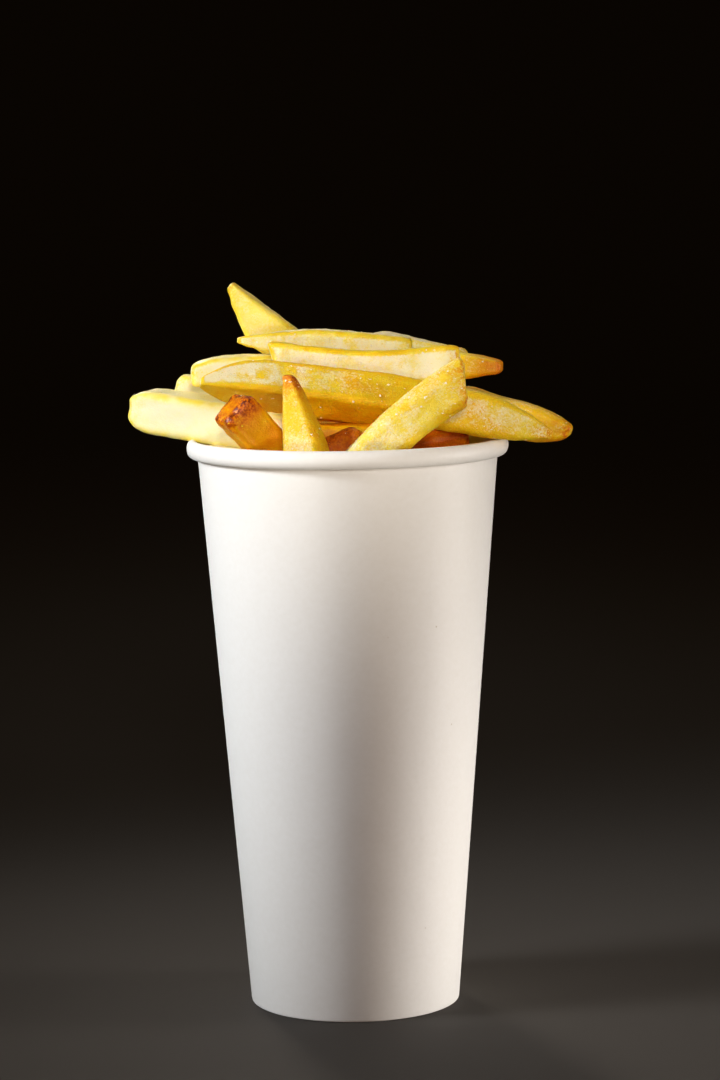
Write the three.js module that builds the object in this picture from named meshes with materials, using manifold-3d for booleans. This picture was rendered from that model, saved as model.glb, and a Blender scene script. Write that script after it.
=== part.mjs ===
// Tall single-wall paper cup heaped with thick-cut fries.
// Millimetres, +Z up. The origin is the centre of the standing ring, on the table.
// The front of the heap faces -Y, and the cup's side seam is at the back, on +Y.
import * as THREE from 'three';
import { mergeVertices } from 'three/addons/utils/BufferGeometryUtils.js';
import Module from 'manifold-3d';

const wasm = await Module();
wasm.setup();

// ---- driving dimensions ----------------------------------------------------
const CUP_HEIGHT = 160;
const PAPER = 0.45;              // coated cup board
const BASE_RADIUS = 29.5;        // outside, at the table
const WALL_TOP_RADIUS = 41.9;    // outside, just under the rolled rim
const WALL_TOP = 155;
const BEAD_RADIUS = 45;          // outermost line of the rolled rim
const BEAD_HEIGHT = 5;
const DISC_LEVEL = 8;            // top face of the recessed base
const FOLD_TOP = 6.4;            // how far the bottom edge is folded up inside
const EDGE_ROUND = 0.4;          // on both sides of the standing ring
const SEAM_ARC = 6;              // overlap of the side seam
const SEAM_STEP = 0.35;          // how far the overlap stands proud
const GLUE_GAP = 0.12;           // between the sleeve and the base's skirt
const FOOD_GAP = 0.35;           // between the fries and the paper
const FRY_EDGE = 2.6;            // most that a fry's long edges are cut off,
const EDGE_SHARE = 0.27;         // and the share of a narrow one's side
const FILL_EDGE = 148.5;         // level of the packed fries at the wall
const FILL_CROWN = 159;          // and in the middle

const wallOuter = (z) => BASE_RADIUS + (WALL_TOP_RADIUS - BASE_RADIUS) * z / WALL_TOP;
const wallInner = (z) => wallOuter(z) - PAPER;
const radians = (degrees) => degrees * Math.PI / 180;

const whitePaper = new THREE.MeshStandardMaterial({ color: '#f3f0ea', roughness: 0.7, metalness: 0 });
const goldenFries = new THREE.MeshStandardMaterial({ color: '#e6bb45', roughness: 0.62, metalness: 0 });

// ---- paper cup -------------------------------------------------------------
// The directions of the cup's flat sides, from the front round to the front
// again. The side seam's two edges are sides a quarter of a degree wide, so that
// its step is crisp.
const PLAIN_SIDES = 30;          // on each half, from the front to the seam
const SEAM_RADIUS = 36;          // mid-height radius, where the seam has its arc
const seamHalf = SEAM_ARC / 2 / SEAM_RADIUS;
const seamEdge = radians(0.25);
const plainStep = (Math.PI - seamHalf - seamEdge) / PLAIN_SIDES;
const leftSides = Array.from({ length: PLAIN_SIDES + 1 }, (_, i) => i * plainStep);
const SIDES = [
  ...leftSides,
  Math.PI - seamHalf,
  Math.PI + seamHalf,
  ...leftSides.map((angle) => 2 * Math.PI - angle).reverse(),
];

// Turns an outline of [radius, height] points about +Z. An outline that doesn't
// start on the axis is closed on itself. Points marked 'lap' stand proud between
// the seam's two edges.
function turn(outline) {
  const closed = outline[0][0] === 0 ? outline : [...outline, outline[0]];
  const profile = closed.map(([r, z]) => new THREE.Vector2(r, z));
  const geometry = new THREE.LatheGeometry(profile, SIDES.length - 1);
  SIDES.forEach((angle, side) => {
    const proud = Math.abs(angle - Math.PI) < seamHalf + seamEdge / 2;
    closed.forEach(([radius, z, kind], k) => {
      const r = proud && kind === 'lap' ? radius + SEAM_STEP : radius;
      const vertex = side * closed.length + k;
      geometry.attributes.position.setXYZ(vertex, r * Math.sin(angle), -r * Math.cos(angle), z);
    });
  });
  return geometry;
}

// Points of an ellipse in the [radius, height] plane.
function arc([r, z], [acrossR, acrossZ], fromDeg, toDeg, steps) {
  return Array.from({ length: steps + 1 }, (_, i) => {
    const t = radians(fromDeg + (toDeg - fromDeg) * i / steps);
    return [r + acrossR * Math.cos(t), z + acrossZ * Math.sin(t)];
  });
}

// Sleeve: the rim rolled outwards, the wall, and the bottom edge folded up inside
// the base's skirt.
const beadHalf = [(BEAD_RADIUS - wallInner(CUP_HEIGHT - BEAD_HEIGHT / 2)) / 2, BEAD_HEIGHT / 2];
const beadCentre = [BEAD_RADIUS - beadHalf[0], CUP_HEIGHT - beadHalf[1]];
const foldOuter = (z) => wallInner(z) - 2 * GLUE_GAP - PAPER;
const foldInner = (z) => foldOuter(z) - PAPER;
const lapLevels = [2 * EDGE_ROUND, 40, 80, 120, WALL_TOP - 0.6];
const edgeArc = [EDGE_ROUND, EDGE_ROUND];
const sleeveOutline = [
  [foldInner(FOLD_TOP), FOLD_TOP],
  ...arc([foldInner(0) + EDGE_ROUND, EDGE_ROUND], edgeArc, 180, 270, 2),
  ...arc([wallOuter(0) - EDGE_ROUND, EDGE_ROUND], edgeArc, 270, 360, 2),
  ...lapLevels.map((z) => [wallOuter(z), z, 'lap']),
  [wallOuter(WALL_TOP + 1.6), WALL_TOP + 1.6],
  ...arc(beadCentre, [beadHalf[0] - PAPER, beadHalf[1] - PAPER], 160, -120, 6),
  ...arc(beadCentre, beadHalf, -120, 172, 11),
  [wallInner(WALL_TOP), WALL_TOP],
  [wallInner(1), 1],
  [foldOuter(0.9), 0.9],
  [foldOuter(FOLD_TOP), FOLD_TOP],
];

// Base: a flat disc whose rim turns down into a skirt between wall and fold.
const SKIRT_END = 1.5;
const skirtOuter = (z) => wallInner(z) - GLUE_GAP;
const skirtInner = (z) => skirtOuter(z) - PAPER;
const baseOutline = [
  [0, DISC_LEVEL - PAPER],
  [skirtInner(DISC_LEVEL) - 0.65, DISC_LEVEL - PAPER],
  [skirtInner(DISC_LEVEL - 1.1), DISC_LEVEL - 1.1],
  [skirtInner(SKIRT_END), SKIRT_END],
  [skirtOuter(SKIRT_END), SKIRT_END],
  [skirtOuter(DISC_LEVEL - 0.9), DISC_LEVEL - 0.9],
  [skirtOuter(DISC_LEVEL) - 0.25, DISC_LEVEL - 0.2],
  [skirtOuter(DISC_LEVEL) - 0.9, DISC_LEVEL],
  [0, DISC_LEVEL],
];

// ---- fries -----------------------------------------------------------------
// One fry is a four-sided bar with its long edges cut off, from `from` to `to`.
// Seen with its top up, `size` is [width, height], and `roll` turns it by degrees.
// `taper` is the share by which each of them grows along it, `twist` the degrees
// it winds, and `bow` how far its middle swings out, sideways and up. `near` and
// `far` say how an end closes: over `len` mm, by the shares `close` of the section
// on its [right, left, top, under] sides, with the suddenness `curve`. `slant` is
// how the end's cut leans, sideways and up, in mm along the fry for each mm.
const STATIONS = 8;
const CORNERS = 8;
const BLUNT = { len: 3, close: [0.12, 0.12, 0.12, 0.12], curve: 2, slant: [0, 0] };

function fry({ from, to, size, roll = 0, near = {}, far = {}, bow = [0, 0], taper = [0, 0], twist = 0 }) {
  const start = new THREE.Vector3(...from);
  const along = new THREE.Vector3(...to).sub(start);
  const length = along.length();
  along.normalize();
  const up = Math.abs(along.z) < 0.7 ? new THREE.Vector3(0, 0, 1) : new THREE.Vector3(0, -1, 0);
  up.addScaledVector(along, -up.dot(along)).normalize();
  const across = new THREE.Vector3().crossVectors(along, up);
  const turned = (deg) => {
    const c = Math.cos(radians(deg));
    const s = Math.sin(radians(deg));
    return [
      across.clone().multiplyScalar(c).addScaledVector(up, s),
      up.clone().multiplyScalar(c).addScaledVector(across, -s),
    ];
  };
  const [bowAcross, bowUp] = turned(roll);
  const ends = [{ ...BLUNT, ...near, sign: -1 }, { ...BLUNT, ...far, sign: 1 }];
  const shares = [0, 0.25, 0.6, 1];
  const stations = [
    ...shares.map((share) => ends[0].len * share),
    length / 2,
    ...shares.map((share) => length - ends[1].len * share).reverse(),
  ];

  // The section's eight corners at distance d, and how far its cut leans there.
  const section = (d) => {
    const grow = d / length - 0.5;
    const half = size.map((full, i) => full / 2 * (1 + taper[i] * grow));
    let [right, left, top, under] = [half[0], -half[0], half[1], -half[1]];
    const lean = [0, 0];
    for (const end of ends) {
      const depth = Math.max(0, 1 - (end.sign < 0 ? d : length - d) / end.len);
      const shut = depth ** end.curve;
      right -= shut * end.close[0] * 2 * half[0];
      left += shut * end.close[1] * 2 * half[0];
      top -= shut * end.close[2] * 2 * half[1];
      under += shut * end.close[3] * 2 * half[1];
      lean[0] += end.sign * depth * end.slant[0];
      lean[1] += end.sign * depth * end.slant[1];
    }
    const cutP = Math.min(EDGE_SHARE * (right - left), FRY_EDGE);
    const cutQ = Math.min(EDGE_SHARE * (top - under), FRY_EDGE);
    const corners = [
      [right, under + cutQ], [right, top - cutQ], [right - cutP, top], [left + cutP, top],
      [left, top - cutQ], [left, under + cutQ], [left + cutP, under], [right - cutP, under]];
    return { corners, middle: [(right + left) / 2, (top + under) / 2], lean, grow };
  };
  const sections = stations.map(section);

  const geometry = new THREE.CylinderGeometry(1, 1, 1, CORNERS, STATIONS);
  const at = geometry.attributes.position;
  for (let i = 0; i < at.count; i++) {
    const station = Math.round((0.5 - at.getY(i)) * STATIONS);
    const { corners, middle, lean, grow } = sections[station];
    const onAxis = Math.hypot(at.getX(i), at.getZ(i)) < 0.5;
    const turnShare = Math.atan2(at.getX(i), at.getZ(i)) / (2 * Math.PI);
    const corner = Math.round(turnShare * CORNERS + CORNERS) % CORNERS;
    const [p, q] = onAxis ? middle : corners[corner];
    const [side, top] = turned(roll + twist * grow);
    const arch = 1 - 4 * grow * grow;
    const point = start.clone()
      .addScaledVector(along, stations[station] + lean[0] * p + lean[1] * q)
      .addScaledVector(side, p)
      .addScaledVector(top, q)
      .addScaledVector(bowAcross, bow[0] * arch)
      .addScaledVector(bowUp, bow[1] * arch);
    at.setXYZ(i, point.x, point.y, point.z);
  }
  return geometry;
}

const FRIES = [
  // lying over the left side of the rim
  { from: [-60.3, 10, 168.8], to: [-12, -7, 161.9], size: [12.5, 11.6], roll: -4,
    near: { len: 9, close: [0.2, 0.15, 0.2, 0.22], curve: 2.4 } },
  { from: [-48.8, 19, 172.4], to: [-15, 17, 162], size: [11, 11.5],
    near: { len: 5, close: [0.1, 0.1, 0.1, 0.2] } },
  { from: [-43.8, 9.5, 178.2], to: [-8, 10.5, 178.6], size: [11, 8.6], twist: 6,
    near: { len: 10, close: [0.1, 0.1, 0.3, 0.05] }, far: { len: 12, close: [0.1, 0.1, 0.35, 0.1] } },
  // the long ones across the top
  { from: [-40.5, -17, 178], to: [26, -8.5, 168.3], size: [11.5, 11.5], roll: 40, bow: [0.4, 0.3],
    near: { len: 19, close: [0.05, 0.72, 0.76, 0.02] }, far: { len: 8, close: [0.4, 0.1, 0.3, 0.1] } },
  { from: [-20.5, -3, 182.4], to: [31.5, -2.5, 181.1], size: [11, 10.5], roll: 3, bow: [0, -1.7],
    near: { len: 4, close: [0.1, 0.1, 0.05, 0.2], slant: [0, 0.35] },
    far: { len: 5, close: [0.15, 0.1, 0.1, 0.15] } },
  { from: [-30.5, 9.5, 187], to: [18.5, 9, 182.6], size: [10, 10],
    near: { len: 22, close: [0.3, 0.3, 0.42, 0.42], curve: 1.3 } },
  { from: [-35.4, 21, 198.4], to: [13, 19, 162.2], size: [11, 11.5],
    near: { len: 14, close: [0.2, 0.2, 0.03, 0.77], curve: 1.1 } },
  { from: [5, 21.5, 183.2], to: [34, 18.5, 176.5], size: [9.5, 10],
    near: { len: 6, close: [0.1, 0.1, 0.3, 0.1] } },
  { from: [20, 12, 179.8], to: [43.7, 7, 177.7], size: [9.5, 8.8],
    far: { len: 16, close: [0.1, 0.2, 0.2, 0.4], curve: 1.4 } },
  // lying over the right side of the rim
  { from: [24, 4, 171.6], to: [62.2, -3, 159.9], size: [10.5, 10.2], taper: [0, 0.25],
    near: { len: 8, close: [0.1, 0.1, 0.4, 0.1] }, far: { len: 15, close: [0.1, 0.15, 0.26, 0.3] } },
  { from: [21, -19.5, 170.8], to: [56, -13, 162.3], size: [11, 12.4],
    far: { len: 22, close: [0.15, 0.2, 0.5, 0.3], curve: 1.8 } },
  // leaning at the front
  { from: [1.5, -31, 152], to: [32.2, -31.3, 177.6], size: [10, 11.8], bow: [0, 1.8],
    far: { len: 6, close: [0.1, 0.1, 0.05, 0.1], slant: [0, 0.72] } },
  { from: [-10.2, -32, 150], to: [-11.2, -30, 180], size: [14, 10], roll: 20,
    far: { len: 30, close: [0.74, 0.06, 0.3, 0.3], curve: 1.5 } },
  { from: [-13, -20, 150], to: [-31.5, -30.5, 171.5], size: [11, 11], roll: -18,
    far: { len: 3, close: [0.06, 0.06, 0.06, 0.06] } },
  { from: [4, -27.5, 148], to: [-2, -22, 162.8], size: [12, 11], roll: 10 },
  { from: [-37, -9, 158.2], to: [-24, -16.5, 152], size: [11, 11] },
  // leaning and lying at the back
  { from: [6, 33, 149], to: [-25.5, 33, 177], size: [10, 12], bow: [0, 1.2], twist: 8,
    far: { len: 7, close: [0.1, 0.2, 0.05, 0.3], slant: [0, -0.5] } },
  { from: [13, 30, 147], to: [17, 37.5, 180], size: [12, 10.5], roll: -15,
    far: { len: 22, close: [0.3, 0.3, 0.35, 0.3], curve: 1.6 } },
  { from: [22, 22, 148], to: [28.5, 29, 174], size: [10.5, 10.5], roll: 20, taper: [0.1, 0.1],
    far: { len: 4, close: [0.1, 0.1, 0.1, 0.1] } },
  { from: [-15, 31, 177.5], to: [28, 29.5, 172.5], size: [10.5, 11], roll: 8, bow: [0, -1], twist: -10,
    near: { len: 10, close: [0.2, 0.1, 0.25, 0.3] }, far: { len: 12, close: [0.2, 0.2, 0.3, 0.1] } },
  { from: [42, 16.5, 166.6], to: [17, 18.5, 168.2], size: [11, 10.5], roll: 5, twist: 8,
    near: { len: 7, close: [0.2, 0.1, 0.3, 0.1] } },
  { from: [-16, 24, 150], to: [-33.5, 28, 169.5], size: [9.5, 9.5], roll: 10,
    far: { len: 12, close: [0.3, 0.2, 0.3, 0.3] } },
  // inside the mouth, under the others
  { from: [-22, 8, 168.4], to: [25, 5.2, 171.6], size: [12, 12], roll: 4 },
  { from: [-28, 20, 152.5], to: [33, 10, 153.5], size: [12, 12] },
  { from: [10, -24, 152.5], to: [31.5, -8, 160.3], size: [11.5, 11.5] },
  { from: [-14, -13, 159.5], to: [12, -16, 159], size: [12, 11.5] },
  { from: [-30, -3, 154.5], to: [-12, 22, 155.5], size: [12, 12] },
  { from: [-4, -4, 160.5], to: [32, 3, 160.6], size: [12, 12] },
  { from: [2, 14, 159.5], to: [24, 26, 154], size: [11.5, 11] },
];

// The fries below the ones that show, as one packed filling with a crown.
function packedFilling() {
  const floor = DISC_LEVEL + FOOD_GAP;
  const side = (z) => wallInner(z) - FOOD_GAP;
  const round = 1.2;
  const outline = [
    [0, floor], [side(floor) - round, floor], [side(floor + round), floor + round],
    [side(FILL_EDGE), FILL_EDGE], [side(FILL_EDGE) - 2 * round, FILL_EDGE + 2 * round],
    [28, FILL_CROWN - 5], [16, FILL_CROWN - 1.5], [0, FILL_CROWN]];
  const profile = outline.map(([r, z]) => new THREE.Vector2(r, z));
  const geometry = new THREE.LatheGeometry(profile, 36);
  geometry.rotateX(Math.PI / 2);
  return geometry;
}

function toSolid(geometry) {
  geometry.deleteAttribute('normal');
  geometry.deleteAttribute('uv');
  const merged = mergeVertices(geometry);
  const triVerts = Uint32Array.from(merged.index.array);
  const vertProperties = Float32Array.from(merged.attributes.position.array);
  return new wasm.Manifold(new wasm.Mesh({ numProp: 3, vertProperties, triVerts }));
}

function toGeometry(solid) {
  const mesh = solid.getMesh();
  const geometry = new THREE.BufferGeometry();
  geometry.setAttribute('position', new THREE.BufferAttribute(Float32Array.from(mesh.vertProperties), 3));
  geometry.setIndex(new THREE.BufferAttribute(Uint32Array.from(mesh.triVerts), 1));
  geometry.computeVertexNormals();
  return geometry;
}

// Every fry is joined to the filling. Only the one outer body is kept, which
// leaves no sealed hollow inside and no loose scrap.
function heapOfFries() {
  let heap = toSolid(packedFilling());
  for (const one of FRIES) heap = heap.add(toSolid(fry(one)));
  const bodies = heap.decompose().sort((p, q) => q.volume() - p.volume());
  return toGeometry(bodies[0]);
}

// ---- assembly --------------------------------------------------------------
function named(name, geometry, material) {
  const mesh = new THREE.Mesh(geometry, material);
  mesh.name = name;
  return mesh;
}

const cupOfFries = new THREE.Group();
cupOfFries.add(named('cup_sidewall', turn(sleeveOutline), whitePaper));
cupOfFries.add(named('cup_base', turn(baseOutline), whitePaper));
cupOfFries.add(named('fries', heapOfFries(), goldenFries));

export default cupOfFries;
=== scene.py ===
import math
import random

import bmesh
import bpy
from mathutils import Matrix, Vector, noise


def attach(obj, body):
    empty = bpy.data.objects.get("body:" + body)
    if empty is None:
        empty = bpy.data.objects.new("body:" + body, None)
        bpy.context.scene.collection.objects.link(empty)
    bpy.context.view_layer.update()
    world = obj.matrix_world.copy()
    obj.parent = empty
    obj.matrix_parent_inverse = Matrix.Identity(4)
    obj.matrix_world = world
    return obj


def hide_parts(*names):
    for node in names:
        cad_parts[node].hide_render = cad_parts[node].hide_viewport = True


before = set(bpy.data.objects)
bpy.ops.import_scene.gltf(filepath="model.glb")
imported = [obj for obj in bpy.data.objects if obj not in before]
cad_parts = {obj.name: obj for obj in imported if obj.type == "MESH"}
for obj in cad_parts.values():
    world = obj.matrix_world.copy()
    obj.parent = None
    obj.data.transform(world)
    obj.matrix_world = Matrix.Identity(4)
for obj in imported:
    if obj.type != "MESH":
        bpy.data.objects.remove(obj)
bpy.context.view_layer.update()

MM = 0.001

# ---- side wall of the cup ----------------------------------------------------
# One blank of bleached cup board, coated on both faces, bent into a cone and
# glued along a lapped seam at the back. A die rolls its top edge outwards into
# the rim, and its bottom edge is folded up inside, round the skirt of the base.

CUP_HEIGHT = 160 * MM
BOARD = 0.45 * MM
FOOT_RADIUS = 29.5 * MM
NECK_RADIUS = 41.9 * MM            # just under the rim
NECK = 155 * MM
RIM_RADIUS = 45 * MM
RIM_HEIGHT = 5 * MM
FOLD_TOP = 6.4 * MM
GLUE_GAP = 0.12 * MM
EDGE_ROUND = 0.4 * MM
SEAM_ARC = 6 * MM
SEAM_STEP = 0.35 * MM
SEAM_RADIUS = 36 * MM              # mid-height, where the seam has its arc
SEAM_EDGE = math.radians(0.25)     # the step at each side of the seam
RIM_TUCK = 1.6 * MM                # how far the wall runs on inside the rim
WALL_STEPS = 12                    # rings of faces up the wall


def wall_outside(height):
    return FOOT_RADIUS + (NECK_RADIUS - FOOT_RADIUS) * height / NECK


def wall_inside(height):
    return wall_outside(height) - BOARD


def arc(centre, radii, start, stop, steps):
    """Points of an elliptic arc in the cup's section, from start to stop degrees."""
    turns = [math.radians(start + (stop - start) * step / steps) for step in range(steps + 1)]
    return [
        (centre[0] + radii[0] * math.cos(turn), centre[1] + radii[1] * math.sin(turn))
        for turn in turns]


def spin_section(outline, lap_half=0.0, sides=240):
    """Turns an outline of (radius, height) points about the cup's axis.

    An outline that doesn't start on the axis is closed on itself. With a lap, it
    is spun in four goes, so that both edges of the lap at the back are a step
    only a quarter of a degree wide."""
    ring = bmesh.new()
    first = math.pi + lap_half + SEAM_EDGE * (lap_half > 0)
    across = Vector((math.sin(first), -math.cos(first), 0))
    corners = [ring.verts.new(across * radius + Vector((0, 0, height))) for radius, height in outline]
    on_axis = outline[0][0] == 0
    wire = corners + [ring.edges.new(pair) for pair in zip(corners, corners[1:] + corners[:1 - on_axis])]
    goes = [(2 * math.pi, sides)]
    if lap_half:
        goes = [
            (2 * (math.pi - lap_half - SEAM_EDGE), sides), (SEAM_EDGE, 1),
            (2 * lap_half, 6), (SEAM_EDGE, 1)]
    for angle, steps in goes:
        spun = bmesh.ops.spin(
            ring, geom=wire, cent=(0, 0, 0), axis=(0, 0, 1), dvec=(0, 0, 0),
            angle=angle, steps=steps, use_merge=False, use_duplicate=False)
        wire = spun["geom_last"]
    bmesh.ops.remove_doubles(ring, verts=ring.verts, dist=0.001 * MM)
    bmesh.ops.recalc_face_normals(ring, faces=ring.faces)
    return ring


def finish_piece(made, name, material, sharp=math.radians(40)):
    """Makes a bmesh an object at the origin, smooth but for its sharp edges."""
    mesh = bpy.data.meshes.new(name)
    for face in made.faces:
        face.smooth = True
    made.to_mesh(mesh)
    made.free()
    mesh.set_sharp_from_angle(angle=sharp)
    mesh.materials.append(material)
    piece = bpy.data.objects.new(name, mesh)
    bpy.context.scene.collection.objects.link(piece)
    return piece


def linear(colour):
    """A linear RGBA colour from its sRGB hex value."""
    parts = [int(colour[start:start + 2], 16) / 255 for start in (1, 3, 5)]
    return [part / 12.92 if part <= 0.04045 else ((part + 0.055) / 1.055) ** 2.4 for part in parts] + [1]


def add_node(material, kind, inputs=None, **settings):
    """Adds a node, sets what it says, and gives each input its value or its link."""
    tree = material.node_tree
    made = tree.nodes.new(kind)
    for name, value in settings.items():
        setattr(made, name, value)
    for name, value in (inputs or {}).items():
        if isinstance(value, bpy.types.NodeSocket):
            tree.links.new(value, made.inputs[name])
        else:
            made.inputs[name].default_value = value
    return made


def coated_board():
    """Bleached cup board under a thin extruded coat of polyethylene.

    To the eye it is a soft white with a satin gleam, very slightly mottled by
    the fibres under the coat, with a speck of darker pulp here and there."""
    material = bpy.data.materials.new("bleached_cup_board_pe_coated")
    material.use_nodes = True
    tree = material.node_tree
    shader = tree.nodes["Principled BSDF"]
    place = add_node(material, "ShaderNodeTexCoord").outputs["Object"]
    # Fibre clumps in board are 1 to 2 mm across, its slow waviness is about 14 mm, and
    # a speck of darker pulp comes about every 11 mm.
    clumps = add_node(material, "ShaderNodeTexNoise", {
        "Vector": place, "Scale": 1 / (1.5 * MM), "Detail": 3.0, "Roughness": 0.6}).outputs["Fac"]
    waves = add_node(material, "ShaderNodeTexNoise", {
        "Vector": place, "Scale": 1 / (14 * MM), "Detail": 1.0}).outputs["Fac"]
    specks = add_node(material, "ShaderNodeTexVoronoi", {
        "Vector": place, "Scale": 1 / (11 * MM), "Randomness": 1.0}).outputs["Distance"]
    speck = add_node(material, "ShaderNodeMapRange", {
        "Value": specks, "From Min": 0.014, "From Max": 0.034,
        "To Min": 0.55, "To Max": 0.0}).outputs["Result"]
    mottled = add_node(material, "ShaderNodeMix", {
        "Factor": clumps, 6: linear("#f5f3ef"), 7: linear("#fcfbf9")}, data_type="RGBA").outputs[2]
    colour = add_node(material, "ShaderNodeMix", {
        "Factor": speck, 6: mottled, 7: linear("#b9ab93")}, data_type="RGBA").outputs[2]
    rough = add_node(material, "ShaderNodeMapRange", {
        "Value": clumps, "To Min": 0.40, "To Max": 0.52}).outputs["Result"]
    low = add_node(material, "ShaderNodeBump", {
        "Height": waves, "Strength": 0.25, "Distance": 0.5 * MM}).outputs["Normal"]
    fine = add_node(material, "ShaderNodeBump", {
        "Height": clumps, "Normal": low, "Strength": 0.3, "Distance": 0.05 * MM}).outputs["Normal"]
    for name, value in (("Base Color", colour), ("Roughness", rough), ("Normal", fine)):
        tree.links.new(value, shader.inputs[name])
    shader.inputs["IOR"].default_value = 1.48
    return material


def sleeve_section():
    """The board's own section: foot, fold, wall and rolled rim, as one closed outline."""
    fold_gap = 2 * GLUE_GAP + BOARD
    fold_outside = lambda height: wall_inside(height) - fold_gap
    fold_inside = lambda height: fold_outside(height) - BOARD
    rim_half = ((RIM_RADIUS - wall_inside(CUP_HEIGHT - RIM_HEIGHT / 2)) / 2, RIM_HEIGHT / 2)
    rim_centre = (RIM_RADIUS - rim_half[0], CUP_HEIGHT - rim_half[1])
    inner_half = (rim_half[0] - BOARD, rim_half[1] - BOARD)
    edge = (EDGE_ROUND, EDGE_ROUND)
    wall_levels = [
        2 * EDGE_ROUND + step * (NECK - 1.4 * MM) / WALL_STEPS for step in range(WALL_STEPS + 1)]
    return [
        (fold_inside(FOLD_TOP), FOLD_TOP),
        *arc((fold_inside(0) + EDGE_ROUND, EDGE_ROUND), edge, 180, 270, 4),
        *arc((wall_outside(0) - EDGE_ROUND, EDGE_ROUND), edge, 270, 360, 4),
        *[(wall_outside(height), height) for height in wall_levels],
        (wall_outside(NECK + RIM_TUCK), NECK + RIM_TUCK),
        *arc(rim_centre, inner_half, 160, -120, 18),
        *arc(rim_centre, rim_half, -120, 172, 34),
        (wall_inside(NECK), NECK),
        (wall_inside(1 * MM), 1 * MM),
        (fold_outside(0.9 * MM), 0.9 * MM),
        (fold_outside(FOLD_TOP), FOLD_TOP)]


seam_half = SEAM_ARC / 2 / SEAM_RADIUS
sleeve = spin_section(sleeve_section(), seam_half)
for vert in sleeve.verts:
    off_seam = abs(math.atan2(vert.co.x, vert.co.y))
    radius = vert.co.xy.length
    on_wall = abs(radius - wall_outside(vert.co.z)) < 0.1 * BOARD and vert.co.z < NECK
    if off_seam < seam_half + SEAM_EDGE / 2 and on_wall:
        vert.co.xy *= 1 + SEAM_STEP / radius

white_board = coated_board()
side_wall = finish_piece(sleeve, "side_wall", white_board)
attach(side_wall, "root")
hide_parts("cup_sidewall")

# ---- base of the cup ---------------------------------------------------------
# A disc of the same board, with its rim drawn down into a skirt. The skirt is
# glued between the wall and its folded edge, which leaves the disc recessed.

DISC_LEVEL = 8 * MM
SKIRT_END = 1.5 * MM


def base_section():
    """Disc and skirt as one closed outline, from the middle of the underside round."""
    outside = lambda height: wall_inside(height) - GLUE_GAP
    inside = lambda height: outside(height) - BOARD
    bend = 1.1 * MM
    inner = bend - BOARD
    under = DISC_LEVEL - BOARD
    return [
        (0, under),
        *arc((inside(DISC_LEVEL) - inner, under - inner), (inner, inner), 90, 0, 4),
        (inside(SKIRT_END), SKIRT_END),
        (outside(SKIRT_END), SKIRT_END),
        *arc((outside(DISC_LEVEL) - bend, DISC_LEVEL - bend), (bend, bend), 0, 90, 6),
        (0, DISC_LEVEL)]


base = finish_piece(spin_section(base_section(), sides=160), "base_disc", white_board)
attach(base, "root")
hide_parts("cup_base")

# ---- fries -------------------------------------------------------------------
# Potato cut into thick bars with a knife, so that their widths, ends and corners
# are all a little different. Frying dries the outside into a pale crust with darker
# edges and blistered tips, and the flat faces sink a little as the inside steams.

CELL = 0.75 * MM                   # of the mesh, along and across a fry
FINE_CELL = 0.46 * MM              # where a gritty crust shows up close
END_ROUND = 1.2 * MM
KNIFE_WANDER = 22 * MM             # over this length a fry's width comes and goes,
KNIFE_SHARE = 0.05                 # by up to this share of it
DENT = 8 * MM
BLISTER = 2.6 * MM
CRUMBLE = 0.9 * MM                 # of the crust's own roughness
TIP_REACH = 9 * MM                 # how far browning runs in from a tip
END_REACH = 1.8 * MM               # and from the edges of an end's cut
CRUST_LAYERS = ("tone", "edge", "tip", "sand", "frost")


def cut(length, right, left, top, under, curve=2.0, slant=(0, 0)):
    """How an end closes: over a length, by these shares of the section on its sides."""
    return {"length": length * MM, "close": (right, left, top, under), "curve": curve, "slant": slant}


BLUNT = cut(3, 0.12, 0.12, 0.12, 0.12)


def bar_of_cells(size, cell):
    """A box of that size round the origin, its faces cut into cells."""
    bar = bmesh.new()
    bmesh.ops.create_cube(bar, size=1, matrix=Matrix.Diagonal((*size, 1)))
    for axis in range(3):
        along = [
            edge for edge in bar.edges
            if abs(edge.verts[0].co[axis] - edge.verts[1].co[axis]) > 0.9 * size[axis]]
        bmesh.ops.subdivide_edges(bar, edges=along, cuts=max(2, round(size[axis] / cell)) - 1)
    return bar


def clamped(value, limit):
    return max(-limit, min(limit, value))


def smooth_step(low, high, value):
    share = max(0.0, min(1.0, (value - low) / (high - low)))
    return share * share * (3 - 2 * share)


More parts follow.
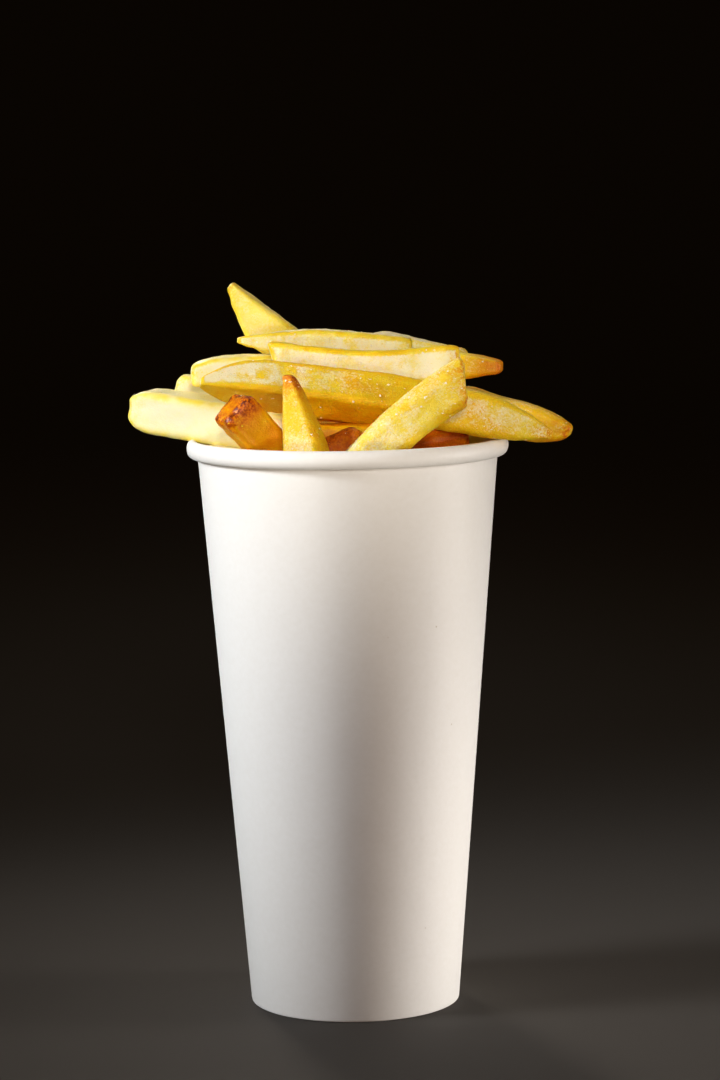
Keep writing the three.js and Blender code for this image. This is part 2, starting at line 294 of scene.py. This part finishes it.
def add_fry(heap, start, end, size, roll=0, near=BLUNT, far=BLUNT, bow=(0, 0), taper=(0, 0), twist=0,
            tone=0.35, drift=0, sides=(0, 0, 0, 0), tips=(0.1, 0.1), edging=0.5, sand=0.4,
            frost=(0.4, 0.4), edge_round=2.3, sag=0.05, cell=CELL):
    """Cuts one fry from start to end, in millimetres, and lays it in the heap.

    With the fry's top up, size is its width and height, and roll turns it by
    degrees. near and far are the cuts at its start and end. bow is how far its
    middle swings out, sideways and up, taper the share by which its width and
    height grow along it, and twist the degrees it winds.

    tone is how far it is fried, from 0, pale, to 1, dark brown. drift adds to that
    from start to end, sides on its right, left, top and underside, tips at its two
    ends and edging along its edges. What sides adds is partly real frying and partly
    painted shade and light, a face made darker or paler for how the lamps fall on it.
    sand is how gritty its crust is. frost is how much dry starch there is at its
    start and end, with none underneath or on a side given a darker tone.

    edge_round is the radius of its long edges, sag the share by which its flat
    faces sink in the middle, and cell the size of its mesh."""
    first, last = Vector(start) * MM, Vector(end) * MM
    along = (last - first).normalized()
    length = (last - first).length
    upright = Vector((0, 0, 1)) if abs(along.z) < 0.7 else Vector((0, -1, 0))
    upright = (upright - along * upright.dot(along)).normalized()
    across = along.cross(upright)
    width, height = size[0] * MM, size[1] * MM
    draw = random.Random(f"{tuple(start)} {tuple(end)}")
    own = Vector([draw.uniform(-9, 9) for _ in range(3)])

    def turned(degrees):
        cosine, sine = math.cos(math.radians(degrees)), math.sin(math.radians(degrees))
        return across * cosine + upright * sine, upright * cosine - across * sine

    bow_across, bow_up = turned(roll)
    bar = bar_of_cells((length, width, height), cell)
    layers = {name: bar.verts.layers.float.new(name) for name in CRUST_LAYERS}
    corner = min(edge_round * MM, 0.45 * width, 0.45 * height)
    end_round = min(0.6 * corner, END_ROUND) / corner
    for vert in bar.verts:
        inner = Vector((
            clamped(vert.co.x, length / 2 - end_round * corner),
            clamped(vert.co.y, width / 2 - corner),
            clamped(vert.co.z, height / 2 - corner)))
        out = vert.co - inner
        out.x /= end_round
        out = out.normalized() * corner
        out.x *= end_round
        spot = inner + out
        reach = spot.x + length / 2
        right_share, top_share = spot.y / (width / 2), spot.z / (height / 2)
        grow = reach / length - 0.5

        # The section here, with the taper, the closing ends and the knife's wander.
        wander = Vector((reach / KNIFE_WANDER, 0, 0)) + own
        wander_up = wander + Vector((0, 5, 0))
        half_across = width / 2 * (1 + taper[0] * grow + KNIFE_SHARE * noise.noise(wander))
        half_up = height / 2 * (1 + taper[1] * grow + KNIFE_SHARE * noise.noise(wander_up))
        right, left, top, under = half_across, -half_across, half_up, -half_up
        lean_across = lean_up = 0.0
        for side, way, shape in ((reach, -1, near), (length - reach, 1, far)):
            depth = max(0.0, 1 - side / shape["length"])
            shut = depth ** shape["curve"]
            right -= shut * shape["close"][0] * 2 * half_across
            left += shut * shape["close"][1] * 2 * half_across
            top -= shut * shape["close"][2] * 2 * half_up
            under += shut * shape["close"][3] * 2 * half_up
            lean_across += way * depth * shape["slant"][0]
            lean_up += way * depth * shape["slant"][1]
        flat_across = right_share * (1 - sag * (1 - top_share ** 2))
        flat_up = top_share * (1 - sag * (1 - right_share ** 2))
        p = left + (flat_across + 1) / 2 * (right - left)
        q = under + (flat_up + 1) / 2 * (top - under)

        arch = 1 - 4 * grow * grow
        side_way, top_way = turned(roll + twist * grow)
        vert.co = (
            first + along * (reach + lean_across * p + lean_up * q)
            + side_way * p + top_way * q
            + bow_across * bow[0] * MM * arch + bow_up * bow[1] * MM * arch)

        # How far it is fried here: its faces, its long edges and its two tips. What the
        # faces add is partly painted shade and light, for how the lamps fall on each face.
        faces = (
            sides[0] * smooth_step(0.5, 1, right_share) + sides[1] * smooth_step(0.5, 1, -right_share)
            + sides[2] * smooth_step(0.5, 1, top_share) + sides[3] * smooth_step(0.5, 1, -top_share))
        ends = min(reach, length - reach)
        rim = smooth_step(END_REACH, 0, ends)
        vert[layers["tone"]] = tone + faces + drift * grow
        vert[layers["sand"]] = sand
        settled = (1 - smooth_step(0, 0.15, faces)) * (1 - smooth_step(0.3, 0.9, -top_share))
        vert[layers["frost"]] = (frost[0] + (frost[1] - frost[0]) * reach / length) * settled
        end_edge = rim * smooth_step(0.6, 1, max(abs(right_share), abs(top_share)))
        vert[layers["edge"]] = edging * max(
            smooth_step(0.5, 0.92, min(abs(right_share), abs(top_share))), end_edge)
        tip_near = tips[0] * smooth_step(TIP_REACH, 0, reach)
        tip_far = tips[1] * smooth_step(TIP_REACH, 0, length - reach)
        end_face = smooth_step(0.9, 0.4, max(abs(right_share), abs(top_share))) * (ends < 0.5 * MM)
        vert[layers["tip"]] = max(tip_near, tip_far) * (1 + end_edge - 0.6 * end_face)

    # Relief, in millimetres: knife marks and dents, then blisters, which swell at the
    # browned tips, then the crumb of the crust, which is coarser where it is gritty.
    bar.normal_update()
    moves = []
    for vert in bar.verts:
        dents = noise.noise(vert.co / DENT + own)
        blisters = noise.noise(vert.co / BLISTER + own)
        crumb = noise.noise(vert.co / CRUMBLE + own)
        blistered = 0.13 + 1.6 * vert[layers["tip"]]
        relief = 0.3 * dents + blistered * blisters + (0.04 + 0.08 * sand) * crumb
        moves.append(vert.normal * relief * MM)
    for vert, move in zip(bar.verts, moves):
        vert.co += move
    scrap = bpy.data.meshes.new("scrap")
    bar.to_mesh(scrap)
    bar.free()
    heap.from_mesh(scrap)
    bpy.data.meshes.remove(scrap)


def fried_potato():
    """Potato fried once in fresh oil, and lightly salted.

    To the eye its crust is cream where starch has dried on it, yellow where the
    flesh shows through, and golden to red-brown along edges and at the tips."""
    material = bpy.data.materials.new("fried_potato_crust")
    material.use_nodes = True
    tree = material.node_tree
    shader = tree.nodes["Principled BSDF"]
    place = add_node(material, "ShaderNodeTexCoord").outputs["Object"]
    tone, edge, tip, sand, frost = [
        add_node(material, "ShaderNodeAttribute", attribute_name=layer).outputs["Fac"]
        for layer in CRUST_LAYERS]
    # Patches are 9 mm across, starch blooms 5 mm, crust flakes 2 mm, and grit 0.6 mm.
    patches, blooms, flakes, grit = [
        add_node(material, "ShaderNodeTexNoise", {
            "Vector": place, "Scale": 1 / (size * MM), "Detail": detail, "Roughness": 0.5}).outputs["Fac"]
        for size, detail in ((9, 1.5), (5, 1.5), (2, 2.0), (0.6, 2.0))]
    # Each grain of the crust, 0.4 mm across, has a chance of its own.
    grain = add_node(material, "ShaderNodeTexVoronoi", {
        "Vector": place, "Scale": 1 / (0.4 * MM), "Randomness": 1.0}).outputs
    chance = add_node(material, "ShaderNodeSeparateColor", {"Color": grain["Color"]}).outputs["Red"]

    def maths(operation, *values):
        sockets = dict(enumerate(values))
        return add_node(material, "ShaderNodeMath", sockets, operation=operation).outputs[0]

    def ranged(value, low, high, start, end):
        return add_node(material, "ShaderNodeMapRange", {
            "Value": value, "From Min": low, "From Max": high,
            "To Min": start, "To Max": end}).outputs["Result"]

    busy = ranged(sand, 0, 1, 0.5, 1.0)
    uneven = maths("MULTIPLY", busy, ranged(patches, 0.3, 0.7, -0.1, 0.1))
    flaky = maths("MULTIPLY", busy, ranged(flakes, 0.3, 0.7, -0.035, 0.035))
    grains = maths("MULTIPLY", sand, ranged(chance, 0, 1, -0.045, 0.045))
    mixed = maths("ADD", maths("MULTIPLY", flakes, 0.5), maths("MULTIPLY", grit, 0.5))
    browned_tip = maths("MULTIPLY", tip, ranged(mixed, 0.38, 0.62, 0.2, 1.6))
    spotted = maths("ADD", maths("ADD", grains, flaky), browned_tip)
    face = maths("ADD", maths("ADD", tone, uneven), spotted)
    # An edge is a golden line, fainter in places, because no starch stays on it.
    worn_edge = maths("MULTIPLY", edge, ranged(blooms, 0.36, 0.62, 0.25, 1.0))
    ridge = maths("MULTIPLY", worn_edge, maths("SUBTRACT", 0.52, face))
    fried = maths("ADD", face, ridge)
    ramp = add_node(material, "ShaderNodeValToRGB", {"Fac": fried})
    stops = (
        (0.00, "#fff6cd"), (0.15, "#feeda0"), (0.30, "#fbe152"), (0.45, "#f5cf12"),
        (0.60, "#f0b203"), (0.72, "#e68c00"), (0.86, "#c95f00"), (1.00, "#742800"))
    while len(ramp.color_ramp.elements) < len(stops):
        ramp.color_ramp.elements.new(0.5)
    for element, (position, colour) in zip(ramp.color_ramp.elements, stops):
        element.position = position
        element.color = linear(colour)
    blotches = maths("ADD", maths("MULTIPLY", blooms, 0.65), maths("MULTIPLY", flakes, 0.35))
    bloom = maths("MULTIPLY", frost, ranged(blotches, 0.36, 0.58, 0.05, 1.0))
    off_edge = maths("MULTIPLY", ranged(fried, 0.5, 0.62, 1.0, 0.0), ranged(edge, 0.2, 0.6, 1.0, 0.0))
    dust = maths("SUBTRACT", maths("MULTIPLY", bloom, off_edge), maths("MULTIPLY", chance, 0.45))
    starch = ranged(dust, 0.0, 0.75, 0.0, 0.78)
    crust = add_node(material, "ShaderNodeMix", {
        "Factor": starch, 6: ramp.outputs["Color"], 7: linear("#fff6da")}, data_type="RGBA").outputs[2]
    rough = ranged(maths("ADD", grit, maths("MULTIPLY", sand, 0.4)), 0.3, 1.0, 0.24, 0.6)
    blistered = add_node(material, "ShaderNodeBump", {
        "Height": flakes, "Strength": 0.3, "Distance": 0.3 * MM})
    gritty = add_node(material, "ShaderNodeBump", {
        "Height": maths("SUBTRACT", grit, grain["Distance"]), "Normal": blistered.outputs["Normal"],
        "Strength": ranged(sand, 0, 1, 0.12, 0.7), "Distance": 0.25 * MM})
    normal = gritty.outputs["Normal"]
    for name, value in (("Base Color", crust), ("Roughness", rough), ("Normal", normal)):
        tree.links.new(value, shader.inputs[name])
    shader.inputs["IOR"].default_value = 1.46
    shader.inputs["Specular IOR Level"].default_value = 0.32
    shader.inputs["Subsurface Weight"].default_value = 0.35
    shader.inputs["Subsurface Radius"].default_value = (1.0, 0.7, 0.25)
    shader.inputs["Subsurface Scale"].default_value = 1.8 * MM
    return material


# The browned heap holds fries fried dark, and also the one in the gap at the front right, given a dark
# tone as painted shade.
crusts = {name: bmesh.new() for name in ("fries_pale", "fries_golden", "fries_browned_and_shaded")}
for crust in crusts.values():
    for layer in CRUST_LAYERS:
        crust.verts.layers.float.new(layer)
pale, golden, browned = crusts.values()

# Lying over the left side of the rim. A fry's right side is its front here.
add_fry(pale, (-60.3, 10, 168.4), (-12, -7, 161.3), (12.5, 12.4), roll=-4,
        near=cut(9, 0.2, 0.15, 0.2, 0.22, curve=2.4),
        tone=0.02, sides=(0, 0.1, 0.08, 0.06), edging=0.5, sand=0.1)
add_fry(pale, (-48.8, 19, 172.4), (-15, 17, 162), (11, 11.5),
        near=cut(5, 0.1, 0.1, 0.1, 0.2), tone=0.08, sand=0.1, frost=(0.8, 0.8))
add_fry(pale, (-43.8, 9.5, 178.2), (-8, 10.5, 178.6), (11, 8.6), twist=6,
        near=cut(10, 0.1, 0.1, 0.3, 0.05), far=cut(12, 0.1, 0.1, 0.35, 0.1),
        tone=0.08, sides=(0, 0, 0.08, 0), edging=0.7, sand=0.2, frost=(1.1, 1.1))

# The long ones across the top.
add_fry(golden, (-40.5, -17, 178), (26, -8.5, 168.3), (11.5, 11.5), roll=40, bow=(0.4, 0.3),
        near=cut(19, 0.05, 0.72, 0.76, 0.02), far=cut(8, 0.4, 0.1, 0.3, 0.1),
        tone=0.45, drift=0.22, sides=(0, 0, 0.08, 0.05), tips=(0, 0.1), edging=1, sand=0.7,
        frost=(1.5, -0.2), edge_round=1.8, cell=FINE_CELL)
add_fry(pale, (-20.5, -3, 182.4), (31.5, -2.5, 181.1), (11, 10.5), roll=3, bow=(0, -2.5),
        near=cut(4, 0.1, 0.1, 0.05, 0.2, slant=(0, 0.35)), far=cut(5, 0.15, 0.1, 0.1, 0.15),
        tone=0.18, sides=(0, 0.1, 0.14, 0.05), tips=(0.12, 0.14), edging=1, sand=0.6, frost=(1.3, 1.3),
        edge_round=1.8, cell=FINE_CELL)
add_fry(pale, (-30.5, 9.5, 187), (18.5, 9, 182.6), (10, 10),
        near=cut(22, 0.3, 0.3, 0.42, 0.42, curve=1.3), tone=0.23, edging=1, sand=0.6, frost=(0.7, 1.3))
add_fry(pale, (-35.4, 21, 198.4), (13, 19, 162.2), (11, 11.5),
        near=cut(14, 0.2, 0.2, 0.03, 0.77, curve=1.1), tone=0.31, drift=0.16, tips=(0.15, 0.1), sand=0.3)
add_fry(pale, (5, 21.5, 184.7), (34, 18.5, 178), (9.5, 10),
        near=cut(6, 0.1, 0.1, 0.3, 0.1), tone=0.27, sand=0.6, frost=(1, 1))
add_fry(golden, (20, 12, 179.8), (43.7, 7, 177.7), (9.5, 8.8),
        far=cut(16, 0.1, 0.2, 0.2, 0.4, curve=1.4), tone=0.5, drift=0.45,
        sides=(0, 0, -0.06, 0.12), tips=(0, 0.04), edging=0.2, sand=0.4)

# Lying over the right side of the rim.
add_fry(golden, (24, 4, 171.6), (62.2, -3, 159.9), (10.5, 10.2), taper=(0, 0.25),
        near=cut(8, 0.1, 0.1, 0.4, 0.1), far=cut(15, 0.1, 0.15, 0.28, 0.46, curve=2.2),
        tone=0.42, drift=0.08, sides=(0, 0, 0, 0.2), tips=(0, 0.16), edging=0.4, sand=0.3, edge_round=3.2)
add_fry(golden, (21, -19.5, 170.8), (56, -13, 162.3), (11, 12.4),
        far=cut(22, 0.15, 0.2, 0.5, 0.3, curve=1.8),
        tone=0.41, sides=(0, 0, 0.06, 0.06), tips=(0, 0.18), edging=0.8, sand=0.9, frost=(0.6, 0.8),
        edge_round=3.0, sag=0, cell=FINE_CELL)

# Leaning at the front. The steep ones show their top, and their right to the right.
add_fry(golden, (1.5, -31, 152), (32.2, -31.3, 177.6), (10, 11.8), bow=(0, 1.8),
        far=cut(6, 0.1, 0.1, 0.05, 0.1, slant=(0, 0.72)),
        tone=0.36, drift=0.14, sides=(0, 0, -0.06, 0.1), tips=(0, 0.14), edging=0.2, sand=1.0,
        frost=(0.8, 0.45), edge_round=3.4, sag=-0.02, cell=FINE_CELL)
# Its right face is given a darker tone, partly painted shade for the side turned from the key lamp on the
# left.
add_fry(golden, (-10.2, -32, 150), (-11.2, -30, 180), (14, 10), roll=20,
        far=cut(30, 0.74, 0.06, 0.3, 0.3, curve=1.5),
        tone=0.38, drift=0.2, sides=(0.22, 0, 0.03, 0.1), tips=(0, 0.12), edging=0.1, sand=0.8,
        frost=(0.85, 0.35), edge_round=3.6, sag=0, cell=FINE_CELL)
add_fry(browned, (-13, -20, 150), (-31.5, -30.5, 171.5), (11, 11), roll=-18,
        far=cut(3, 0.06, 0.06, 0.06, 0.06), tone=0.66, tips=(0, 0.2), edging=0.1, sand=0.25, frost=(0, 0),
        edge_round=2.4, cell=FINE_CELL)
add_fry(browned, (4, -27.5, 148), (-2, -22, 162.8), (12, 11), roll=10, tone=0.76, edging=0.2, sand=0.5)
add_fry(pale, (-39, -5, 155), (-15, -14.5, 150.5), (11, 9), tone=0.04, sand=0.1)

# Leaning and lying at the back.
add_fry(golden, (6, 33, 149), (-25.5, 33, 177), (10, 12), bow=(0, 1.2), twist=8,
        far=cut(7, 0.1, 0.2, 0.05, 0.3, slant=(0, -0.5)), tone=0.32, tips=(0, 0.15), sand=0.8)
add_fry(golden, (13, 30, 147), (17, 37.5, 180), (12, 10.5), roll=-15,
        far=cut(22, 0.3, 0.3, 0.35, 0.3, curve=1.6), tone=0.36, tips=(0, 0.25), sand=0.6)
add_fry(browned, (22, 22, 148), (28.5, 29, 174), (10.5, 10.5), roll=20, taper=(0.1, 0.1),
        far=cut(4, 0.1, 0.1, 0.1, 0.1), tone=0.54, tips=(0, 0.14), edging=0.8, sand=0.3)
add_fry(pale, (-15, 31, 177.5), (28, 29.5, 172.5), (10.5, 11), roll=8, bow=(0, -1), twist=-10,
        near=cut(10, 0.2, 0.1, 0.25, 0.3), far=cut(12, 0.2, 0.2, 0.3, 0.1), tone=0.2, edging=1, sand=0.6)
add_fry(golden, (42, 16.5, 166.6), (17, 18.5, 168.2), (11, 10.5), roll=5, twist=8,
        near=cut(7, 0.2, 0.1, 0.3, 0.1), tone=0.38, tips=(0.2, 0), sand=0.5)
add_fry(golden, (-16, 24, 150), (-33.5, 28, 169.5), (9.5, 9.5), roll=10,
        far=cut(12, 0.3, 0.2, 0.3, 0.3), tone=0.34, tips=(0, 0.15))

# Inside the mouth, under the others.
add_fry(golden, (-22, 8, 168.4), (25, 5.2, 171.6), (12, 12), roll=4, tone=0.42)
add_fry(golden, (-28, 20, 152.5), (33, 10, 153.5), (12, 12), tone=0.42)
# Given a dark red-brown tone as painted shade, for the dark gap right of the leaning front fries.
add_fry(browned, (10, -24, 152.5), (31.5, -8, 160.3), (11.5, 11.5), tone=0.9, drift=-0.3, edging=0.1)
add_fry(browned, (-14, -13, 159.5), (12, -16, 159), (12, 11.5), tone=0.66)
add_fry(browned, (-16, -5, 162.5), (8, -7, 163.5), (9, 8), tone=0.66)
add_fry(golden, (-30, -3, 154.5), (-12, 22, 155.5), (12, 12), tone=0.4)
add_fry(browned, (-4, -4, 160.5), (32, 3, 160.6), (12, 12), tone=0.6)
add_fry(golden, (2, 14, 159.5), (24, 26, 154), (11.5, 11), tone=0.46)

# Round the mouth, ends that stand against the wall and short ones that lie between
# them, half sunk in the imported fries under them. Like the fries above, they are
# given in millimetres, with their distances from the cup's axis.
STANDING = 20
STANDING_RING = 35
STANDING_LEAN = 1.5                # how much nearer the axis their feet are
STANDING_FOOT = 138                # height of their lower ends
STANDING_TOPS = (150.5, 155)       # and of their tops
LYING = 24
LYING_RINGS = (16, 34)             # where their middles are
LYING_HALVES = (9, 16)             # half their lengths
LYING_LEVEL = 155.5                # on the axis
LYING_DROP = 8                     # from there to the edge of the fill,
FILL_REACH = 39                    # which is this far out
MOUTH_ROOM = 40.2                  # how far out a corner may be

draw = random.Random(23)
for step in range(STANDING):
    bearing = (step + draw.uniform(-0.1, 0.1)) / STANDING * 2 * math.pi
    outward = Vector((math.cos(bearing), math.sin(bearing), 0))
    top = outward * STANDING_RING + Vector((0, 0, draw.uniform(*STANDING_TOPS)))
    aside = Vector((draw.uniform(-1, 1), draw.uniform(-1, 1), STANDING_FOOT))
    foot = outward * (STANDING_RING - STANDING_LEAN) + aside
    add_fry(browned, foot, top, (draw.uniform(8.5, 9.8), draw.uniform(8.5, 10)),
            roll=draw.uniform(-8, 8) - math.degrees(bearing), tone=draw.uniform(0.42, 0.66),
            tips=(0, 0.12), cell=1.1 * MM)
laid = 0
while laid < LYING:
    heading, bearing = draw.uniform(0, 2 * math.pi), draw.uniform(0, 2 * math.pi)
    middle = Vector((math.cos(bearing), math.sin(bearing), 0)) * draw.uniform(*LYING_RINGS)
    reach = Vector((math.cos(heading), math.sin(heading), 0)) * draw.uniform(*LYING_HALVES)
    width = draw.uniform(8.5, 10.5)
    beside = Vector((-reach.y, reach.x, 0)).normalized() * width / 2
    ends = [middle - reach, middle + reach]
    if max((end + side).length for end in ends for side in (beside, -beside)) < MOUTH_ROOM:
        for end in ends:
            drop = LYING_DROP * (end.length / FILL_REACH) ** 2
            end.z = LYING_LEVEL - drop + draw.uniform(-1, 1)
        add_fry(browned, ends[0], ends[1], (width, draw.uniform(8.5, 9.5)), roll=draw.uniform(-12, 12),
                tone=draw.uniform(0.42, 0.62), cell=1 * MM)
        laid += 1

crust_material = fried_potato()
fried_pieces = []
for name, crust in crusts.items():
    shown = finish_piece(crust, name, crust_material, sharp=math.radians(60))
    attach(shown, "root")
    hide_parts("fries")
    fried_pieces.append(shown)

# ---- salt and crumbs ---------------------------------------------------------
# Fine table salt thrown over the hot fries, and crumbs of dried starch that have
# come off their edges. Both keep to the fries with a rough, dry crust.

SALT_GRAINS = 2400
SALT = (0.08 * MM, 0.50 * MM)      # half the width of a grain, from fine to coarse
CRUMBS = 7000
CRUMB = (0.15 * MM, 0.55 * MM)
PALER = 0.7                        # share of the crust's tone that a grain takes on
LIFT = 0.6                         # share of its half height that its middle is raised


def scatter(heap, grain, count, sizes, flatness, seed):
    """Drops grains on the fries at random, more of them where the crust is gritty.

    Each grain takes on the tone of the crust under it, a little paler."""
    draw = random.Random(seed)
    spots, shares = [], []
    for piece in fried_pieces:
        gritty = piece.data.attributes["sand"].data
        fried = piece.data.attributes["tone"].data
        for face in piece.data.polygons:
            spots.append((face.center.copy(), face.normal.copy(), fried[face.vertices[0]].value))
            shares.append(face.area * gritty[face.vertices[0]].value ** 2)
    grain_tone = grain.verts.layers.float.new("tone")
    for spot, normal, tone in draw.choices(spots, shares, k=count):
        half = sizes[0] + (sizes[1] - sizes[0]) * draw.random() ** 4
        turn = Matrix.Rotation(draw.uniform(0, 2 * math.pi), 4, [draw.gauss(0, 1) for _ in range(3)])
        lie = normal.to_track_quat("Z", "Y").to_matrix().to_4x4()
        shape = Matrix.Diagonal((half, half * draw.uniform(0.4, 1), half * flatness, 1))
        place = Matrix.Translation(spot + normal * half * flatness * LIFT)
        for vert in grain.verts:
            vert[grain_tone] = PALER * tone + 0.08 * draw.uniform(-1, 1)
        scrap = bpy.data.meshes.new("scrap")
        grain.to_mesh(scrap)
        scrap.transform(place @ lie @ shape @ turn)
        heap.from_mesh(scrap)
        bpy.data.meshes.remove(scrap)
    grain.free()


def table_salt():
    """Fine table salt: clear crystals, so small and crazed that they look white."""
    material = bpy.data.materials.new("table_salt_crystal")
    material.use_nodes = True
    shader = material.node_tree.nodes["Principled BSDF"]
    shader.inputs["Base Color"].default_value = linear("#fff5de")
    shader.inputs["Roughness"].default_value = 0.4
    shader.inputs["IOR"].default_value = 1.54
    return material


crystal = bmesh.new()
bmesh.ops.create_cube(crystal, size=1.6)
salt = bmesh.new()
scatter(salt, crystal, SALT_GRAINS, SALT, 0.8, seed=11)
lump = bmesh.new()
bmesh.ops.create_icosphere(lump, subdivisions=1, radius=1)
crumbs = bmesh.new()
crumbs.verts.layers.float.new("tone")
scatter(crumbs, lump, CRUMBS, CRUMB, 0.7, seed=12)
loose = ((salt, "salt_grains", table_salt()), (crumbs, "crust_crumbs", crust_material))
for made, name, material in loose:
    scattered = finish_piece(made, name, material, sharp=math.radians(20))
    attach(scattered, "root")
    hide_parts("fries")

# ---- packed fries in the cup -------------------------------------------------
# The fries below the ones that show, pressed together by their own weight. They
# fill the cup from its base to just under the rim, with a crown in the middle.
# Their tone is darker than that of the fries above, as painted shade deep in the cup.

FOOD_GAP = 0.35 * MM
FILL_EDGE = 148.5 * MM
FILL_CROWN = 159 * MM
FILL_DOME = 8 * MM                 # how far the crown falls towards the wall
FILL_ROUND = 1.2 * MM
FILL_LUMP = 7 * MM                 # width of the lumps on the crown
FILL_SINK = 1.5 * MM               # and how far the hollows between them sink
# Darker than the fries above: painted shade for the fries deep in the cup.
PACKED_SHADED_TONE = 0.7


def filling_section():
    """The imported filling's outline, from the middle of its floor to its crown."""
    floor = DISC_LEVEL + FOOD_GAP
    side = lambda height: wall_inside(height) - FOOD_GAP
    crown = [
        ((side(FILL_EDGE) - 2 * FILL_ROUND) * share, FILL_CROWN - FILL_DOME * share ** 2)
        for share in [step / 24 for step in range(24, -1, -1)]]
    return [
        (0, floor),
        *arc((side(floor) - FILL_ROUND, floor + FILL_ROUND), (FILL_ROUND, FILL_ROUND), 270, 360, 3),
        *[(side(height * MM), height * MM) for height in range(20, 148, 16)],
        (side(FILL_EDGE), FILL_EDGE),
        *crown]


filling = spin_section(filling_section(), sides=120)
packed_shaded_tone = filling.verts.layers.float.new("tone")
for vert in filling.verts:
    vert[packed_shaded_tone] = PACKED_SHADED_TONE
    if vert.co.z > FILL_EDGE + MM:
        vert.co.z -= FILL_SINK * (1 + noise.noise(vert.co / FILL_LUMP))
packed = finish_piece(filling, "fries_packed_core", crust_material)
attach(packed, "root")
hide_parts("fries")

# ---- floor, light and camera -------------------------------------------------
# A plain dark studio floor that sweeps up all round, soft lights from the left, the
# right and the back, small ones on the fries, and a long lens just above the rim.

STUDIO_RADIUS = 2.8                # metres, like the places of the lights
STUDIO_HEIGHT = 3.0
SWEEP = 0.9                        # radius of the curve from floor to wall

bowl = spin_section([
    (0, 0),
    *arc((STUDIO_RADIUS - SWEEP, SWEEP), (SWEEP, SWEEP), 270, 360, 12),
    (STUDIO_RADIUS, STUDIO_HEIGHT)], sides=96)
floor_paint = bpy.data.materials.new("matt_grey_floor_paint")
floor_paint.use_nodes = True
paint_shader = floor_paint.node_tree.nodes["Principled BSDF"]
paint_shader.inputs["Base Color"].default_value = linear("#2c2722")
paint_shader.inputs["Roughness"].default_value = 0.8
floor = finish_piece(bowl, "studio_floor", floor_paint)


def soft_light(name, place, size, power, colour, turn_to=0.12, spread=180):
    """A softbox at a place, facing the cup's axis at the height turn_to.

    spread is the angle of its beam in degrees, narrowed as by a grid."""
    lamp = bpy.data.lights.new(name, "AREA")
    lamp.shape = "RECTANGLE"
    lamp.size, lamp.size_y = size
    lamp.energy = power
    lamp.color = linear(colour)[:3]
    lamp.spread = math.radians(spread)
    box = bpy.data.objects.new(name, lamp)
    box.location = place
    box.rotation_euler = (Vector((0, 0, turn_to)) - Vector(place)).to_track_quat("-Z", "Y").to_euler()
    box.visible_camera = False
    bpy.context.scene.collection.objects.link(box)


soft_light("key_left", (-0.71, -0.18, 0.46), (0.4, 0.2), 0.33, "#fbfdff", turn_to=0.10, spread=24)
soft_light("side_right", (0.93, -0.02, 0.12), (0.3, 0.12), 0.235, "#fff9f2", turn_to=0.03, spread=24)
soft_light("warm_front", (0.25, -0.65, 0.12), (0.3, 0.3), 0.024, "#ffb070", turn_to=0.08, spread=40)
soft_light("fries_above", (0.04, -0.62, 0.38), (0.2, 0.12), 0.036, "#fffaf2", turn_to=0.195, spread=18)
soft_light("below_left", (-0.34, -0.52, 0.05), (0.15, 0.08), 0.012, "#fff3e0", turn_to=0.195, spread=16)
soft_light("below_right", (0.28, -0.56, 0.05), (0.15, 0.08), 0.011, "#fff3e0", turn_to=0.195, spread=16)
soft_light("top_back", (0.15, 0.45, 0.80), (0.5, 0.4), 0.85, "#fff6ea", turn_to=0.15)
soft_light("rear_fill", (-0.25, 0.75, 0.50), (0.2, 0.2), 0.06, "#fff1de", turn_to=0.14, spread=24)

room = bpy.data.worlds.new("studio")
bpy.context.scene.world = room
room.use_nodes = True
glow = room.node_tree.nodes["Background"]
glow.inputs["Color"].default_value = linear("#ffcf94")
glow.inputs["Strength"].default_value = 0.13

CAMERA_PLACE = Vector((0, -950, 243.6)) * MM
CAMERA_DOWN = math.radians(6.765)
CAMERA_YAW = math.radians(-0.188)
CAMERA_ROLL = math.radians(-0.825)
lens = bpy.data.cameras.new("camera")
lens.lens = 113.6
lens.sensor_width = 36
camera = bpy.data.objects.new("camera", lens)
turn = (
    Matrix.Rotation(CAMERA_YAW, 4, "Z")
    @ Matrix.Rotation(math.pi / 2 - CAMERA_DOWN, 4, "X")
    @ Matrix.Rotation(CAMERA_ROLL, 4, "Z"))
camera.matrix_world = Matrix.Translation(CAMERA_PLACE) @ turn
bpy.context.scene.collection.objects.link(camera)
bpy.context.scene.camera = camera
bpy.context.scene.view_settings.view_transform = "Standard"
